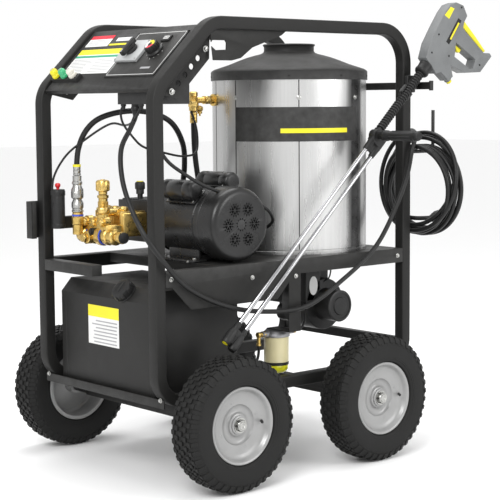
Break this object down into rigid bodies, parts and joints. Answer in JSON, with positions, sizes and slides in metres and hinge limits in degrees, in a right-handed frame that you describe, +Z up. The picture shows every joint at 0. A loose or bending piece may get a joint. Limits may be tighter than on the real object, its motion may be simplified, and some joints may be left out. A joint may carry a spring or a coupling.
{
  "type": "pressure washer",
  "caption": "Wheeled hot-water pressure washer with square-tube side frames, boiler, motor and pump on a deck, fuel tank, control panel, wand with gun and hung power cord.",
  "frame": {"origin": "on the floor, under the middle of the machine's box without its power cord", "axes": "+X from the control-panel end to the cord-hanger end, -Y the side that carries the wand, +Z up"},
  "size_m": [1.4475, 1.031, 1.468],
  "materials": {
    "frame_black": "textured black powder coat",
    "plastic_black": "moulded black",
    "rubber_black": "black cord and hose jacket",
    "tyre_rubber": "black tyre rubber",
    "rim_grey": "light grey paint",
    "stainless": "brushed stainless",
    "steel": "zinc-plated steel",
    "chrome": "bright chrome",
    "brass": "forged brass",
    "yellow": "yellow plastic",
    "green": "green plastic",
    "white": "off-white plastic",
    "red": "red plastic",
    "gun_grey": "grey moulded plastic",
    "plate_grey": "satin switch plate",
    "cream": "cream filter body"
  },
  "bodies": {
    "root": {"side_frame_near": "frame_black", "side_frame_far": "frame_black", "axle_beam_panel_end": "frame_black", "axle_beam_hanger_end": "frame_black", "deck": "frame_black", "pump_end_rail": "frame_black", "tank_tray": "frame_black", "crossbar_hanger_end": "frame_black", "hanger_bar": "frame_black", "cord_hook": "frame_black", "control_console": "frame_black", "control_plate": "frame_black", "boiler_lid": "frame_black", "motor_shell": "frame_black", "motor_end_bell": "frame_black", "motor_fan_cover": "frame_black", "capacitor_cover_start": "frame_black", "capacitor_cover_run": "frame_black", "pump_crankcase": "frame_black", "control_box": "plastic_black", "burner": "plastic_black", "flow_switch": "plastic_black", "fuel_tank": "plastic_black", "power_plug": "plastic_black", "power_cord": "rubber_black", "pressure_hose": "rubber_black", "boiler_hose": "rubber_black", "cord_coil": "rubber_black", "boiler_shell": "stainless", "heating_coil": "steel", "outlet_swivel": "steel", "fuel_filter_head": "steel", "boiler_fitting": "brass", "pump_manifold": "brass", "switch_plate": "plate_grey"},
    "wand": {"wand_tubes": "chrome", "wand_nozzles": "plastic_black", "wand_sleeve": "plastic_black", "gun_body": "gun_grey"},
    "side_handle": {"side_handle": "plastic_black"},
    "trigger": {"gun_trigger": "yellow"},
    "safety_latch": {"gun_safety_latch": "yellow"},
    "wheel_panel_end_near": {"rim_panel_end_near": "rim_grey", "tyre_panel_end_near": "tyre_rubber"},
    "wheel_panel_end_far": {"rim_panel_end_far": "rim_grey", "tyre_panel_end_far": "tyre_rubber"},
    "wheel_hanger_end_near": {"rim_hanger_end_near": "rim_grey", "tyre_hanger_end_near": "tyre_rubber"},
    "wheel_hanger_end_far": {"rim_hanger_end_far": "rim_grey", "tyre_hanger_end_far": "tyre_rubber"},
    "switch_knob": {"switch_knob": "plastic_black"},
    "dial_knob": {"dial_knob": "plastic_black"},
    "nozzle_yellow": {"nozzle_yellow": "yellow"},
    "nozzle_green": {"nozzle_green": "green"},
    "nozzle_white": {"nozzle_white": "white"},
    "rotor": {"motor_rotor": "steel"},
    "unloader_knob": {"unloader_knob": "brass"},
    "fuel_cap": {"fuel_cap": "plastic_black"},
    "reset_button": {"flow_reset_button": "red"},
    "filter_bowl": {"fuel_filter_bowl": "cream"}
  },
  "joints": [
    {"name": "wheel_panel_end_near_spin", "type": "hinge", "parent": "root", "child": "wheel_panel_end_near", "pos_m": [-0.486, -0.3865, 0.20172], "axis": [0, 1, 0], "continuous": true},
    {"name": "wheel_panel_end_far_spin", "type": "hinge", "parent": "root", "child": "wheel_panel_end_far", "pos_m": [-0.486, 0.4595, 0.20172], "axis": [0, 1, 0], "continuous": true},
    {"name": "wheel_hanger_end_near_spin", "type": "hinge", "parent": "root", "child": "wheel_hanger_end_near", "pos_m": [0.103, -0.3865, 0.20172], "axis": [0, 1, 0], "continuous": true},
    {"name": "wheel_hanger_end_far_spin", "type": "hinge", "parent": "root", "child": "wheel_hanger_end_far", "pos_m": [0.103, 0.4595, 0.20172], "axis": [0, 1, 0], "continuous": true},
    {"name": "wand_lift_off", "type": "slide", "parent": "root", "child": "wand", "axis": [0, -1, 0], "range_m": [0, 0.12]},
    {"name": "side_handle_turn", "type": "hinge", "parent": "wand", "child": "side_handle", "pos_m": [0.17148, -0.3255, 1.0327], "axis": [0, 1, 0], "range_deg": [0, 180]},
    {"name": "trigger_squeeze", "type": "hinge", "parent": "wand", "child": "trigger", "pos_m": [0.5785, -0.3255, 1.396], "axis": [0, 1, 0], "range_deg": [0, 5], "stiffness_Nm_per_rad": 3, "springref_deg": -11.46},
    {"name": "safety_latch_swing", "type": "hinge", "parent": "wand", "child": "safety_latch", "pos_m": [0.5396, -0.3255, 1.3322], "axis": [0, 1, 0], "range_deg": [0, 15]},
    {"name": "switch_turn", "type": "hinge", "parent": "root", "child": "switch_knob", "pos_m": [-0.55215, -0.0155, 1.29176], "axis": [-0.6984, 0, 0.7157], "range_deg": [-90, 90]},
    {"name": "dial_turn", "type": "hinge", "parent": "root", "child": "dial_knob", "pos_m": [-0.55215, -0.1235, 1.29176], "axis": [-0.6984, 0, 0.7157], "range_deg": [0, 270]},
    {"name": "nozzle_yellow_pull", "type": "slide", "parent": "root", "child": "nozzle_yellow", "axis": [-0.6984, 0, 0.7157], "range_m": [0, 0.05]},
    {"name": "nozzle_green_pull", "type": "slide", "parent": "root", "child": "nozzle_green", "axis": [-0.6984, 0, 0.7157], "range_m": [0, 0.05]},
    {"name": "nozzle_white_pull", "type": "slide", "parent": "root", "child": "nozzle_white", "axis": [-0.6984, 0, 0.7157], "range_m": [0, 0.05]},
    {"name": "rotor_spin", "type": "hinge", "parent": "root", "child": "rotor", "pos_m": [-0.3365, 0.0365, 0.772], "axis": [0, 1, 0], "continuous": true},
    {"name": "unloader_turn", "type": "hinge", "parent": "root", "child": "unloader_knob", "pos_m": [-0.5715, 0.1365, 0.88], "axis": [0, 0, 1], "range_deg": [0, 720]},
    {"name": "fuel_cap_turn", "type": "hinge", "parent": "root", "child": "fuel_cap", "pos_m": [-0.618, -0.0435, 0.568], "axis": [-0.7341, 0, 0.679], "range_deg": [0, 120]},
    {"name": "reset_button_press", "type": "slide", "parent": "root", "child": "reset_button", "axis": [0, 0, 1], "range_m": [-0.004, 0], "stiffness_N_per_m": 400, "springref_m": 0.002},
    {"name": "filter_bowl_turn", "type": "hinge", "parent": "root", "child": "filter_bowl", "pos_m": [-0.1355, -0.1855, 0.34], "axis": [0, 0, 1], "range_deg": [0, 360]}
  ]
}
